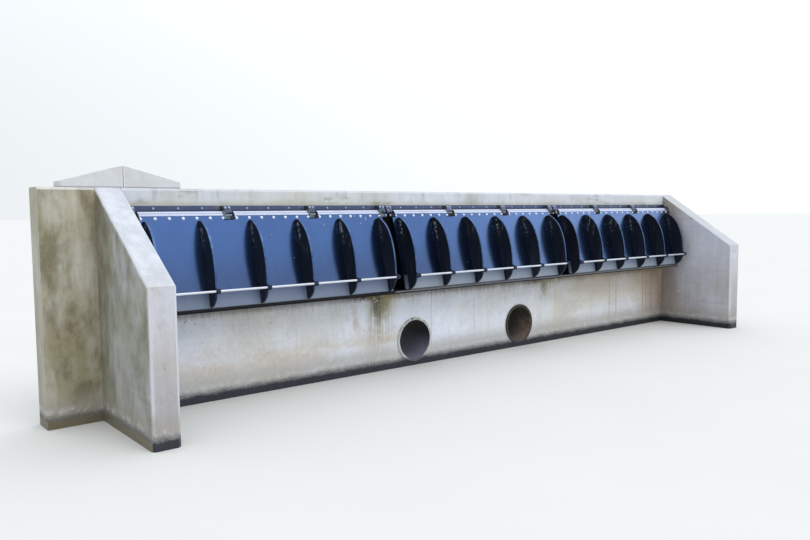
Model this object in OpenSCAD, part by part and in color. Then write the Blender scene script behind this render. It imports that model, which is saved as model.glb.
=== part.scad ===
// Outfall headwall with three top-hung flap gates in a row.
// Frame: X along the wall (right seen from the water), Y into the wall (away
// from the water), Z up. Origin: middle of the wall's front face at its foot.

/* [Concrete] */
// Half of the clear width between the two wing walls
half_w = 5000; // [4950:10:5200]
// Thickness of the headwall
wall_t = 300; // [250:10:400]
// Height of the headwall's top above its foot
top_z = 2375; // [2340:5:2500]
// Underside of the top beam
beam_z = 2145; // [2140:1:2150]
// Top of the low wall under the flaps
sill_z = 1100; // [1098:1:1102]
// Length of a wing wall in front of the headwall
wing_len = 1350; // [1100:10:1600]
// Thickness of a wing wall
wing_t = 270; // [220:5:320]
// Height of a wing wall at its nose
nose_z = 1470; // [1300:10:1600]
// Chamfer on the free concrete edges
chamfer = 25; // [15:1:30]
// Length of the headwall beyond the left wing wall
end_len = 530; // [400:10:800]

/* [Coping block] */
// Length of the saddle-shaped block on the wall's left end
cap_len = 1220; // [1000:10:1220]
// Height of the block at its two ends
cap_end_h = 62; // [50:1:80]
// Height of the block at its middle
cap_mid_h = 226; // [150:1:260]

/* [Pipes] */
// Clear diameter of the two outlet pipes
pipe_id = 530; // [480:5:540]
// Wall thickness of an outlet pipe
pipe_t = 34; // [25:1:40]
// Height of the pipes' axis
pipe_z = 357; // [340:1:420]
// Length of an outlet pipe
pipe_len = 640; // [320:10:700]
// Position of the left pipe
pipe_x1 = -1110; // [-1300:10:-1000]
// Position of the right pipe
pipe_x2 = 1010; // [900:10:1200]

/* [Flaps] */
// Distance between the middles of two flaps
pitch = 3340; // [3330:1:3345]
// Half of a flap plate's width
flap_hw = 1585; // [1580:1:1590]
// Thickness of the flap plate
skin_t = 20; // [15:1:22]
// Distance between ribs
rib_pitch = 600; // [590:1:605]
// Thickness of a rib
rib_t = 22; // [16:1:30]
// Diameter of the round bar along the ribs' outer edges
rod_d = 25; // [20:1:32]
// Diameter of a hinge pin
pin_d = 16; // [12:1:18]

/* [Hidden] */

e = 1;
bay = [-pitch, 0, pitch];
open_hw = 1450;                 // half width of a wall opening
frame_t = 12;                   // thickness of the frame strips
frame_z = 2125;                 // lower edge of the top frame strip
strip_z = 2190;                 // upper edge of the top frame strip
// closed flap plate: outer face from A (top) to B (kink), then down to C
ay = -127; az = 2085;
by = -346; bz = 1290;
cy = -385; cz = 1107;
lip_k = (by-cy)/(bz-cz);               // outward lean of the lip
ab = sqrt((ay-by)*(ay-by) + (az-bz)*(az-bz));
dy = (by-ay)/ab; dz = (bz-az)/ab;      // down along the plate
ny = dz; nz = -dy;                     // out of the plate
function on(u, v) = [ay + u*dy + v*ny, az + u*dz + v*nz];
// hinge axis
hy = -97; hz = 2112;
// places of the hinges along a flap
hinge_x = [-1612, -547, 547, 1612];
// segments of the top apron
seg = [[-1543, -612], [-482, 482], [612, 1543]];
// middle of the round bar
ry = -556; rz = 1297;

concrete = "gainsboro";

// extrudes a (Y,Z) profile along X, from x0 to x1
module along_x(x0, x1) {
  translate([x0, 0, 0]) rotate([90, 0, 90]) linear_extrude(x1-x0) children();
}
// three-sided bars that take a 45 degree chamfer off an edge; sa and sb point
// out of the two faces that meet there, and the bars run on past the solid
module tri(sa, sb, c) {
  polygon([[-sa*(c+20), sb*20], [sa*20, -sb*(c+20)], [sa*20, sb*20]]);
}
module cut_x(x0, x1, y, z, sy, sz, c=chamfer) {
  along_x(x0, x1) translate([y, z]) tri(sy, sz, c);
}
module cut_z(x, y, z0, z1, sx, sy, c=chamfer) {
  translate([x, y, z0]) linear_extrude(z1-z0) tri(sx, sy, c);
}
module cut_yz(x, p, q, sx, c=chamfer) {
  l = sqrt((q[0]-p[0])*(q[0]-p[0]) + (q[1]-p[1])*(q[1]-p[1]));
  translate([x, p[0], p[1]]) rotate([atan2(q[1]-p[1], q[0]-p[0]), 0, 0])
    translate([0, l+150, 0]) rotate([90, 0, 0]) linear_extrude(l+300) tri(sx, 1, c);
}

module lower_wall() { color(concrete)
  difference() {
    translate([-half_w, 0, 0]) cube([2*half_w, wall_t, sill_z]);
    for (x = [pipe_x1, pipe_x2]) translate([x, -e, pipe_z]) rotate([-90, 0, 0])
      cylinder(h=wall_t+2*e, d=pipe_id+2*pipe_t+2, $fn=96);
  }
}
module top_beam() { color(concrete)
  difference() {
    translate([-half_w, 0, beam_z]) cube([2*half_w, wall_t, top_z-beam_z]);
    cut_x(-half_w-50, half_w+50, 0, top_z, -1, 1);
    cut_x(-half_w-50, half_w+50, wall_t, top_z, 1, 1);
  }
}
module pier(x0, x1) { color(concrete)
  translate([x0, 0, sill_z]) cube([x1-x0, wall_t, beam_z-sill_z]);
}
module left_pier() pier(-pitch+open_hw, -open_hw);
module right_pier() pier(open_hw, pitch-open_hw);
module left_end_pier() pier(-half_w, -pitch-open_hw);
module right_end_pier() pier(pitch+open_hw, half_w);

// wing wall between x0 and x1, with a sloping top
module wing(x0, x1) { color(concrete)
  difference() {
    along_x(x0, x1)
      polygon([[wall_t, 0], [wall_t, top_z], [0, top_z], [-wing_len, nose_z], [-wing_len, 0]]);
    cut_yz(x0, [-wing_len, nose_z], [0, top_z], -1);
    cut_yz(x1, [-wing_len, nose_z], [0, top_z], 1);
    cut_z(x0, -wing_len, -50, top_z, -1, -1, chamfer+5);
    cut_z(x1, -wing_len, -50, top_z, 1, -1, chamfer+5);
    cut_x(x0-50, x1+50, wall_t, top_z, 1, 1);
  }
}
module left_wing_wall() wing(-half_w-wing_t, -half_w);
module right_wing_wall() wing(half_w, half_w+wing_t);
module left_wall_end() { color(concrete)
  difference() {
    translate([-half_w-wing_t-end_len, 0, 0]) cube([end_len, wall_t, top_z]);
    cut_x(-half_w-wing_t-end_len-50, -half_w-wing_t+50, 0, top_z, -1, 1);
    cut_x(-half_w-wing_t-end_len-50, -half_w-wing_t+50, wall_t, top_z, 1, 1);
  }
}
// two mirrored halves with a mortar joint between them
module left_coping() { color("lightgray")
  translate([-4970, 0, top_z]) for (s = [-1, 1])
    difference() {
      translate([0, wall_t-20, 0]) rotate([90, 0, 0]) linear_extrude(wall_t-50)
        polygon([[s*5, 0], [s*cap_len/2, 0], [s*cap_len/2, cap_end_h], [s*5, cap_mid_h]]);
      cut_z(s*cap_len/2, 30, -20, cap_mid_h, s, -1, 12);
      cut_z(s*cap_len/2, wall_t-20, -20, cap_mid_h, s, 1, 12);
    }
}
module pipe(x) { color("darkgray")
  translate([x, -15, pipe_z]) rotate([-90, 0, 0]) difference() {
    cylinder(h=pipe_len, d=pipe_id+2*pipe_t, $fn=96);
    translate([0, 0, -e]) cylinder(h=pipe_len+2*e, d=pipe_id, $fn=96);
  }
}
module left_pipe() pipe(pipe_x1);
module right_pipe() pipe(pipe_x2);

module top_frame() { color("#2a3040")
  for (b = bay) translate([b-pitch/2+10, -frame_t, frame_z])
    cube([pitch-20, frame_t, strip_z-frame_z]);
}
// side plates behind the flap's two ends
module seat_cheeks() { color("#1b1f26")
  for (b = bay, s = [-1, 1])
    along_x(b+(s > 0 ? open_hw+5 : -open_hw-35), b+(s > 0 ? open_hw+35 : -open_hw-5))
      polygon([[0, sill_z-2], [0, az-10], on(8, -skin_t-8), [by+skin_t+12, bz-8],
               [cy+skin_t+12, sill_z-2]]);
}
module sill_plates() { color("#1b1f26")
  translate([bay[0]-flap_hw, cy+12, sill_z-40]) cube([bay[2]-bay[0]+2*flap_hw, -cy-12, 38]);
}
module pier_covers() { color("#1b1f26")
  for (x = [[-half_w, -pitch-open_hw-35], [-pitch+open_hw+35, -open_hw-35],
            [open_hw+35, pitch-open_hw-35], [pitch+open_hw+35, half_w]])
    translate([x[0], -frame_t, sill_z]) cube([x[1]-x[0], frame_t, frame_z-sill_z]);
}
// back plate and a thick arm that carries the pin
module hinge_brackets() { color("#4a5266")
  for (b = bay, h = hinge_x) difference() {
    union() {
      translate([b+h-47, -frame_t-10, frame_z]) cube([94, 10, strip_z-frame_z-2]);
      along_x(b+h-42, b+h+42) union() {
        polygon([[-frame_t-6, strip_z-4], [hy+13, strip_z-7], [hy-22.3, 2121], [hy, hz],
                 [hy+13, 2093], [-frame_t-6, frame_z+2]]);
        translate([hy, hz]) circle(r=24, $fn=48);
      }
    }
    translate([b+h-60, hy, hz]) rotate([0, 90, 0]) cylinder(h=120, d=pin_d, $fn=48);
  }
}
module hinge_pins() { color("silver")
  for (b = bay, h = hinge_x) {
    s = abs(h) > 1000 ? sign(h) : 0;
    x0 = s < 0 ? -46 : -62;
    x1 = s > 0 ? 46 : 62;
    translate([b+h+x0, hy, hz]) rotate([0, 90, 0]) cylinder(h=x1-x0, d=pin_d, $fn=48);
  }
}

// ---- one flap; b is its middle ----
module flap_plate(b) { color("#1d2a44")
  along_x(b-flap_hw, b+flap_hw)
    polygon([[ay, az], [by, bz], [by+skin_t, bz-(skin_t*dy/dz)*0], on(0, -skin_t)]);
}
module flap_lip(b) { color("#8a8f96")
  along_x(b-flap_hw+20, b+flap_hw-20)
    polygon([[by, bz], [cy, cz], [cy+skin_t, cz], [by+skin_t, bz]]);
}
rib_y = -523;
rib_z = 1300;
rib_end = 2020;
function rib_top(a) = [-140+(rib_y+140)*pow(cos(a), 0.9), rib_z+(rib_end-rib_z)*sin(a)];
function rib_low(a) = [cy+(rib_y-cy)*pow(cos(a), 1.25), rib_z-(rib_z-cz-1)*sin(a)];
module flap_ribs(b) { color("#14181f")
  for (i = [-2.5:1:2.5]) difference() {
    union() {
      along_x(b+i*rib_pitch-rib_t/2, b+i*rib_pitch+rib_t/2)
        union() {
          polygon(concat([[ay+(rib_end+2-az)*dy/dz, rib_end+2], [by, bz], [cy+lip_k, cz+1]],
            [for (a = [80:-10:10]) rib_low(a)], [for (a = [0:7.5:67.5]) rib_top(a)],
            // the rounded top leaves the plate at a right angle
            [on(121.5, 102.5), on(94, 77), on(76, 55), on(67, 34), on(64, 14)]));
          polygon([[-440, rz-75], [ry, rz-22], [ry, rz+22], [-440, rz+95]]);
        }
      translate([b+i*rib_pitch-22, ry, rz]) rotate([0, 90, 0]) cylinder(h=44, r=28, $fn=48);
    }
    translate([b+i*rib_pitch-40, ry, rz]) rotate([0, 90, 0]) cylinder(h=80, d=rod_d+0.6, $fn=48);
  }
}
module flap_rod(b) { color("silver")
  translate([b-1525, ry, rz]) rotate([0, 90, 0]) cylinder(h=3050, d=rod_d, $fn=48);
}
// sloping strip above the plate, with a small tab at each left end
module flap_apron(b) { color("#c8d0e0")
  for (s = seg) union() {
    along_x(b+s[0], b+s[1])
      polygon([on(0, 0), on(6, 0), on(6, 8), [-134, 2090], [-90, 2127], [-84, 2122]]);
    along_x(b+s[0], b+s[0]+14) polygon([on(2, 0), on(22, 0), on(22, 10), on(2, 8)]);
  }
}
// foot on the plate with lugs beside the arm; the end hinges have one lug
module flap_hinges(b) { color("#181b22")
  for (h = hinge_x) {
    s = abs(h) > 1000 ? sign(h) : 0;
    difference() {
      union() {
        along_x(b+h-(s > 0 ? 66 : s < 0 ? 36 : 62), b+h+(s < 0 ? 66 : s > 0 ? 36 : 62))
          polygon([on(8, 0), on(48, 0), on(48, 22), on(8, 22)]);
        for (k = s == 0 ? [-1, 1] : [-s]) along_x(b+h+min(k*47, k*60), b+h+max(k*47, k*60)) union() {
          polygon([on(20, 0), on(20, 22), on(-6, 22), on(-47, -3), [hy, hz],
                   on(-14, -21), on(-1, -8), on(-1, 0)]);
          translate([hy, hz]) circle(r=22, $fn=48);
        }
      }
      translate([b+h-70, hy, hz]) rotate([0, 90, 0]) cylinder(h=140, d=pin_d+0.6, $fn=48);
    }
  }
}
// rubber strip behind the lower edge
module flap_seal(b) { color("#101214")
  along_x(b-flap_hw+20, b+flap_hw-20) translate([cy+skin_t, cz])
    polygon([[0, 0], [6, 0], [6+30*lip_k, 30], [30*lip_k, 30]]);
}
module left_flap_plate() flap_plate(bay[0]);
module left_flap_lip() flap_lip(bay[0]);
module left_flap_ribs() flap_ribs(bay[0]);
module left_flap_rod() flap_rod(bay[0]);
module left_flap_apron() flap_apron(bay[0]);
module left_flap_hinges() flap_hinges(bay[0]);
module left_flap_seal() flap_seal(bay[0]);
module mid_flap_plate() flap_plate(bay[1]);
module mid_flap_lip() flap_lip(bay[1]);
module mid_flap_ribs() flap_ribs(bay[1]);
module mid_flap_rod() flap_rod(bay[1]);
module mid_flap_apron() flap_apron(bay[1]);
module mid_flap_hinges() flap_hinges(bay[1]);
module mid_flap_seal() flap_seal(bay[1]);
module right_flap_plate() flap_plate(bay[2]);
module right_flap_lip() flap_lip(bay[2]);
module right_flap_ribs() flap_ribs(bay[2]);
module right_flap_rod() flap_rod(bay[2]);
module right_flap_apron() flap_apron(bay[2]);
module right_flap_hinges() flap_hinges(bay[2]);
module right_flap_seal() flap_seal(bay[2]);

lower_wall();
top_beam();
left_pier();
right_pier();
left_end_pier();
right_end_pier();
left_wing_wall();
right_wing_wall();
left_wall_end();
left_coping();
left_pipe();
right_pipe();
top_frame();
seat_cheeks();
sill_plates();
pier_covers();
hinge_brackets();
hinge_pins();
left_flap_plate();
left_flap_lip();
left_flap_ribs();
left_flap_rod();
left_flap_apron();
left_flap_hinges();
left_flap_seal();
mid_flap_plate();
mid_flap_lip();
mid_flap_ribs();
mid_flap_rod();
mid_flap_apron();
mid_flap_hinges();
mid_flap_seal();
right_flap_plate();
right_flap_lip();
right_flap_ribs();
right_flap_rod();
right_flap_apron();
right_flap_hinges();
right_flap_seal();
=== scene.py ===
import math
import random

import bmesh
import bpy
from mathutils import Matrix, Vector


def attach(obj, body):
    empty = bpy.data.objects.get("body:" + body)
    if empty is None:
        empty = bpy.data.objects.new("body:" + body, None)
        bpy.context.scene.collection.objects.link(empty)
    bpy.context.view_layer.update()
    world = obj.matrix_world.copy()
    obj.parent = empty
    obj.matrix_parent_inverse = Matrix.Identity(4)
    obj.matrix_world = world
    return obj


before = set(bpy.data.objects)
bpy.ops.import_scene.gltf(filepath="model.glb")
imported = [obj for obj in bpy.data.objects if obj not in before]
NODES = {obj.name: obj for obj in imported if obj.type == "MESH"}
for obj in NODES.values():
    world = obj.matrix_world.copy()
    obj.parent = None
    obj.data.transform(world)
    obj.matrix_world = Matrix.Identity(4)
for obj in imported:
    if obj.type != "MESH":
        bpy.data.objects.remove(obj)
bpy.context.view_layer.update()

SC = bpy.context.scene
RND = random.Random(7)


def lin(r, g, b):
    """Linear colour of a display colour from 0 to 255."""
    return tuple(
        c / 255 / 12.92 if c / 255 <= 0.04045 else ((c / 255 + 0.055) / 1.055) ** 2.4
        for c in (r, g, b)
    )


# ------------------------------------------------------------------ camera
def make_camera():
    yaw, pitch, roll = math.radians(39.389), math.radians(4.55), math.radians(-0.482)
    fw = Vector(
        (
            math.sin(yaw) * math.cos(pitch),
            math.cos(yaw) * math.cos(pitch),
            -math.sin(pitch),
        )
    )
    right = Vector((math.cos(yaw), -math.sin(yaw), 0))
    up = right.cross(fw)
    r = right * math.cos(roll) + up * math.sin(roll)
    u = -right * math.sin(roll) + up * math.cos(roll)
    cam = bpy.data.objects.new("camera", bpy.data.cameras.new("camera"))
    SC.collection.objects.link(cam)
    m = Matrix((r, u, -fw)).transposed().to_4x4()
    m.translation = Vector((-7.602, -7.715, 2.114))
    cam.matrix_world = m
    cam.data.sensor_fit = "HORIZONTAL"
    cam.data.sensor_width = 36
    cam.data.lens = 32.963
    cam.data.clip_start = 0.05
    cam.data.clip_end = 2000
    SC.camera = cam


make_camera()


# ------------------------------------------------------------------ node helper
class Mat:
    """A procedural material; sockets and numbers can be mixed in every call."""

    def __init__(self, name):
        self.m = bpy.data.materials.new(name)
        self.m.use_nodes = True
        self.t = self.m.node_tree
        self.t.nodes.clear()
        self.out = self.t.nodes.new("ShaderNodeOutputMaterial")
        self.b = self.t.nodes.new("ShaderNodeBsdfPrincipled")
        self.t.links.new(self.b.outputs[0], self.out.inputs[0])
        tc = self.t.nodes.new("ShaderNodeTexCoord")
        self.P = tc.outputs["Object"]
        self.N = tc.outputs["Normal"]
        s = self.t.nodes.new("ShaderNodeSeparateXYZ")
        self.put(s.inputs[0], self.P)
        self.x, self.y, self.z = s.outputs
        s = self.t.nodes.new("ShaderNodeSeparateXYZ")
        self.put(s.inputs[0], self.N)
        self.nx, self.ny, self.nz = s.outputs

    def put(self, sock, v):
        if isinstance(v, bpy.types.NodeSocket):
            self.t.links.new(v, sock)
        elif isinstance(v, (tuple, list)) and sock.type == "RGBA":
            sock.default_value = (*v[:3], 1)
        else:
            sock.default_value = v

    def f(self, op, a, b=0.0, c=0.0, clamp=False):
        n = self.t.nodes.new("ShaderNodeMath")
        n.operation = op
        n.use_clamp = clamp
        for s, v in zip(n.inputs, (a, b, c)):
            self.put(s, v)
        return n.outputs[0]

    def mul(self, *a):
        r = a[0]
        for v in a[1:]:
            r = self.f("MULTIPLY", r, v)
        return r

    def add(self, *a):
        r = a[0]
        for v in a[1:]:
            r = self.f("ADD", r, v)
        return r

    def inv(self, a):
        return self.f("SUBTRACT", 1.0, a)

    def step(self, v, lo, hi):
        """0 at lo, 1 at hi, smooth; lo may be above hi."""
        n = self.t.nodes.new("ShaderNodeMapRange")
        n.interpolation_type = "SMOOTHSTEP"
        if lo > hi:
            self.put(n.inputs[0], v)
            n.inputs[1].default_value, n.inputs[2].default_value = hi, lo
            n.inputs[3].default_value, n.inputs[4].default_value = 1, 0
        else:
            self.put(n.inputs[0], v)
            n.inputs[1].default_value, n.inputs[2].default_value = lo, hi
        return n.outputs[0]

    def near(self, v, c, w):
        """1 at c, 0 beyond c-w and c+w, smooth."""
        return self.step(self.f("ABSOLUTE", self.f("SUBTRACT", v, c)), w, 0.0)

    def mix(self, fac, a, b, blend="MIX"):
        n = self.t.nodes.new("ShaderNodeMix")
        n.data_type = "RGBA"
        n.blend_type = blend
        n.clamp_factor = True
        self.put(n.inputs[0], fac)
        self.put(n.inputs[6], a)
        self.put(n.inputs[7], b)
        return n.outputs[2]

    def lerp(self, fac, a, b):
        n = self.t.nodes.new("ShaderNodeMix")
        n.clamp_factor = True
        self.put(n.inputs[0], fac)
        self.put(n.inputs[2], a)
        self.put(n.inputs[3], b)
        return n.outputs[0]

    def dim(self, col, k):
        """col times a scalar socket."""
        n = self.t.nodes.new("ShaderNodeVectorMath")
        n.operation = "SCALE"
        self.put(n.inputs[0], col)
        self.put(n.inputs["Scale"], k)
        return n.outputs[0]

    def vec(self, sx, sy, sz, ox=0.0, oy=0.0, oz=0.0):
        n = self.t.nodes.new("ShaderNodeMapping")
        self.put(n.inputs[0], self.P)
        n.inputs[1].default_value = (ox, oy, oz)
        n.inputs[3].default_value = (sx, sy, sz)
        return n.outputs[0]

    def noise(self, vec, scale, detail=3.0, rough=0.55, dist=0.0):
        n = self.t.nodes.new("ShaderNodeTexNoise")
        self.put(n.inputs["Vector"], vec)
        n.inputs["Scale"].default_value = scale
        n.inputs["Detail"].default_value = detail
        n.inputs["Roughness"].default_value = rough
        n.inputs["Distortion"].default_value = dist
        return n.outputs[0]

    def cells(self, vec, scale, feature="F1", out="Distance"):
        n = self.t.nodes.new("ShaderNodeTexVoronoi")
        n.feature = feature
        self.put(n.inputs["Vector"], vec)
        n.inputs["Scale"].default_value = scale
        return n.outputs[out]

    def bump(self, height, strength, distance, normal=None):
        n = self.t.nodes.new("ShaderNodeBump")
        self.put(n.inputs["Height"], height)
        n.inputs["Strength"].default_value = strength
        n.inputs["Distance"].default_value = distance
        if normal is not None:
            self.put(n.inputs["Normal"], normal)
        return n.outputs[0]

    def done(self, color, rough=None, normal=None, **fixed):
        self.put(self.b.inputs["Base Color"], color)
        if rough is not None:
            self.put(self.b.inputs["Roughness"], rough)
        if normal is not None:
            self.put(self.b.inputs["Normal"], normal)
        for k, v in fixed.items():
            self.put(self.b.inputs[k.replace("_", " ")], v)
        return self.m


# ------------------------------------------------------------------ concrete
def concrete(name, base, warm, wet=True, extra=None, streak=1.0, green=0.0, seed=0.0, speck=1.0):
    g = Mat(name)
    P = g.vec(1, 1, 1, seed, seed * 0.7, 0)
    big = g.noise(P, 0.75, 4, 0.55)
    col = g.mix(g.step(big, 0.40, 0.66), base, warm)
    # board and run marks, drawn out along Z
    s1 = g.noise(g.vec(7, 7, 0.28, seed, 0, 0), 1.0, 4, 0.6)
    s2 = g.noise(g.vec(34, 34, 0.7, 0, seed, 0), 1.0, 3, 0.6)
    k = g.add(
        1.0,
        g.mul(g.f("SUBTRACT", s1, 0.5), 0.42 * streak),
        g.mul(g.f("SUBTRACT", s2, 0.5), 0.26 * streak),
    )
    # cloudy patches
    c1 = g.noise(P, 2.6, 6, 0.62)
    c2 = g.noise(P, 11.0, 5, 0.6)
    k = g.add(
        k, g.mul(g.f("SUBTRACT", c1, 0.5), 0.30), g.mul(g.f("SUBTRACT", c2, 0.5), 0.24)
    )
    grain = g.noise(P, 120.0, 2, 0.7)
    k = g.add(k, g.mul(g.f("SUBTRACT", grain, 0.5), 0.16 * speck))
    col = g.dim(col, k)
    # blow holes
    pore = g.cells(P, 26.0)
    pick = g.noise(P, 9.0, 2)
    hole = g.mul(g.step(pore, 0.085, 0.05), g.step(pick, 0.52, 0.60))
    col = g.mix(g.mul(hole, 0.55), col, lin(95, 92, 85))
    # sparse dark lichen dots and brown bits
    dot = g.cells(g.vec(1, 1, 1, 3.1 + seed, 0, 0), 9.0)
    col = g.mix(
        g.mul(g.step(dot, 0.11, 0.04), g.step(g.noise(P, 3.1, 2), 0.54, 0.62), 0.5),
        col,
        lin(88, 84, 70),
    )
    # yellow-green algae film, in soft patches
    if green:
        a = g.mul(
            g.step(g.noise(g.vec(1, 1, 0.8, 9 + seed, 0, 0), 1.7, 5, 0.6), 0.50, 0.68),
            g.step(g.noise(P, 6.5, 4), 0.35, 0.65),
            green,
        )
        col = g.mix(a, col, lin(150, 148, 118))
    bare = g.add(
        g.mul(grain, 0.35), g.mul(c2, 0.3), g.mul(s2, 0.25 * streak), g.mul(hole, -1.2)
    )
    rough = g.lerp(c2, 0.78, 0.95)
    if extra:
        col, rough = extra(g, col, rough)
    if wet:
        wob = g.mul(g.f("SUBTRACT", g.noise(g.vec(1, 1, 2.0, seed, 0, 0), 5.0, 5, 0.65), 0.5), 0.075)
        fuzz = g.noise(g.vec(1, 1, 1.6, seed, 0, 0), 38.0, 4, 0.7)
        zz = g.add(g.z, wob, g.mul(g.f("SUBTRACT", fuzz, 0.5), 0.045))
        # mineral band, then damp, then the black waterline
        col = g.mix(g.mul(g.step(zz, 0.42, 0.18), 0.64), col, lin(152, 147, 138))
        lime = g.mul(g.near(zz, 0.165, 0.07), g.step(g.noise(P, 14.0, 3), 0.45, 0.62), 0.45)
        col = g.mix(lime, col, lin(200, 200, 202))
        grey = g.mix(g.step(fuzz, 0.35, 0.65), lin(76, 77, 80), lin(112, 112, 114))
        col = g.mix(g.mul(g.step(zz, 0.165, 0.090), 0.86), col, grey)
        low = g.step(zz, 0.105, 0.070)
        black = g.dim(lin(42, 45, 54), g.lerp(g.noise(g.vec(4, 4, 1), 3.0, 4), 0.55, 1.5))
        black = g.dim(black, g.lerp(g.step(g.x, -5.0, 4.5), 1.05, 0.55))
        bank = g.add(g.step(g.f("ABSOLUTE", g.x), 5.258, 5.266), g.step(g.y, 0.27, 0.29))
        black = g.mix(g.step(bank, 0.2, 0.8), black, g.dim(lin(112, 104, 84), g.lerp(c2, 0.7, 1.2)))
        col = g.mix(g.mul(low, 0.97), col, black)
        rough = g.lerp(low, rough, 0.42)
    nrm = g.bump(bare, 0.35, 0.004)
    return g.done(col, rough, nrm, Specular_IOR_Level=0.3)


BASE = lin(224, 229, 240)
WARM = lin(212, 212, 210)


def stain(g, col, fac, colour):
    return g.mix(fac, col, colour)


def wall_marks(g, col, rough):
    """Stains, lines and painted shade of the low wall under the flaps; X and Z are in metres."""
    runs = g.noise(g.vec(26, 26, 1.1), 1.0, 4, 0.65)
    soft = g.noise(g.vec(2.5, 2.5, 1.0), 1.0, 4)
    # a browner band just under the sill, stronger towards the right
    top = g.mul(
        g.step(g.add(g.z, g.mul(g.f("SUBTRACT", runs, 0.5), 0.22), g.mul(g.f("SUBTRACT", soft, 0.5), 0.46)), 0.86, 1.03), 0.62
    )
    col = g.mix(g.mul(top, g.lerp(g.step(g.x, -2.4, 0.5), 0.22, 1.0)), col, lin(150, 141, 118))
    tan = g.mul(g.near(g.z, 0.40, 0.26), g.step(g.noise(g.vec(0.9, 0.9, 2.0, 6, 0, 0), 1.0, 4), 0.40, 0.60), g.step(g.x, 0.6, -1.4))
    col = g.mix(g.mul(tan, 0.62), col, lin(192, 176, 156))
    # warm, cloudy tint that grows towards the right
    cloud = g.step(g.noise(g.vec(1.6, 1.6, 2.4, 3, 0, 0), 1.0, 5, 0.62), 0.36, 0.66)
    col = g.mix(g.mul(cloud, g.lerp(g.step(g.x, -1.0, 3.0), 0.04, 0.38)), col, lin(182, 174, 158))
    # painted shadow right under the sill, with damp dirt, deepest at the joints and by the right wing
    wet = g.mul(
        g.step(g.add(g.z, g.mul(g.f("SUBTRACT", runs, 0.5), 0.07)), 0.925, 1.003),
        g.add(0.56, g.mul(g.near(g.x, -1.85, 0.65), 0.50), g.mul(g.near(g.x, 1.45, 0.45), 0.42), g.mul(g.step(g.x, 3.0, 4.2), 0.30)),
    )
    col = g.mix(wet, col, lin(66, 60, 48))
    # under the first joint: green-black run with ochre sides
    for cx, w, zlo, dark, ochre, tone in ((-1.70, 0.19, 0.06, 0.80, 0.85, (148, 132, 68)), (1.63, 0.10, 0.55, 0.62, 0.68, (152, 146, 92))):
        wob = g.mul(g.f("SUBTRACT", g.noise(g.vec(3, 3, 3), 1.0, 3), 0.5), 0.16)
        x = g.add(g.x, wob)
        fade = g.step(g.z, zlo, 1.0)
        side = g.mul(g.near(x, cx, w * 1.7), g.step(g.add(runs, g.mul(fade, 0.12)), 0.38, 0.64), g.add(0.10, g.mul(fade, 0.90)))
        col = g.mix(g.mul(side, ochre), col, lin(*tone))
        core = g.mul(g.near(x, cx - 0.03, w * 0.95), g.step(g.add(runs, g.mul(g.step(g.z, 0.60, 0.95), 0.14)), 0.40, 0.56), fade)
        core = g.mul(core, g.lerp(g.step(g.z, 0.45, 0.95), 0.45, 1.0))
        col = g.mix(g.mul(core, dark), col, lin(66, 68, 52))
    # broad ochre wash right of the first joint
    col = g.mix(
        g.mul(g.near(g.x, -1.42, 0.50), g.step(g.z, 0.62, 1.12), g.step(soft, 0.30, 0.60), 0.40),
        col,
        lin(168, 151, 96),
    )
    wash = g.mul(g.near(g.add(g.x, g.mul(g.f("SUBTRACT", runs, 0.5), 0.06)), -1.585, 0.10), g.step(g.z, 0.66, 0.92), 0.75)
    col = g.mix(wash, col, lin(150, 138, 84))
    col = g.mix(g.mul(g.near(g.x, -1.42, 0.42), g.step(g.z, 0.90, 0.99), 0.45), col, lin(140, 130, 104))
    # lime crusts at the top of that run
    crust = g.mul(
        g.near(g.x, -1.745, 0.13),
        g.near(g.z, 0.965, 0.085),
        g.step(g.cells(g.vec(1, 1, 1), 24.0), 0.34, 0.18),
    )
    col = g.mix(g.mul(crust, 0.95), col, lin(238, 240, 244))
    # small dark bits caught under the sill
    bits = g.cells(g.vec(1, 1, 1, 1.7, 0, 0.4), 13.0)
    bit = g.mul(g.step(bits, 0.15, 0.06), g.step(g.noise(g.vec(1, 1, 1), 4.0, 2), 0.46, 0.56), g.step(g.z, 0.62, 1.0))
    col = g.mix(g.mul(bit, 0.75), col, lin(78, 70, 56))
    # pinkish patch
    col = g.mix(
        g.mul(g.near(g.x, -2.13, 0.30), g.near(g.z, 0.72, 0.34), g.step(g.noise(g.vec(6, 6, 3), 1.0, 4), 0.46, 0.62), 0.6),
        col,
        lin(180, 156, 140),
    )
    # vertical lines: formwork joints and rust-brown runs
    for cx, w, colour, k, zlo, zhi in (
        (-0.80, 0.008, (112, 108, 96), 0.75, 0.22, 1.1),
        (-2.98, 0.006, (150, 146, 138), 0.35, 0.2, 1.1),
        (0.04, 0.010, (166, 150, 136), 0.50, 0.2, 1.1),
        (1.90, 0.085, (210, 203, 172), 0.62, 0.20, 1.1),
        (1.86, 0.010, (172, 150, 116), 0.45, 0.15, 1.1),
        (2.84, 0.010, (160, 140, 112), 0.40, 0.2, 1.1),
        (3.36, 0.015, (108, 96, 86), 0.92, 0.15, 1.05),
        (3.56, 0.030, (168, 140, 98), 0.68, 0.15, 1.05),
        (4.38, 0.021, (126, 86, 54), 0.95, 0.12, 1.1),
        (4.49, 0.016, (130, 92, 60), 0.85, 0.12, 1.1),
        (4.66, 0.040, (142, 108, 72), 0.70, 0.12, 1.1),
    ):
        x = g.add(g.x, g.mul(g.f("SUBTRACT", g.noise(g.vec(1, 1, 3), 1.0, 2), 0.5), 0.012))
        fade = g.mul(g.step(g.z, zlo - 0.1, zlo + 0.25), g.step(g.z, zhi + 0.15, zhi - 0.2) if zhi < 1.1 else 1.0)
        brk = g.lerp(g.noise(g.vec(1, 1, 5), 1.0, 3), 0.45, 1.15)
        col = g.mix(g.mul(g.near(x, cx, w), fade, brk, k), col, lin(*colour))
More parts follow.
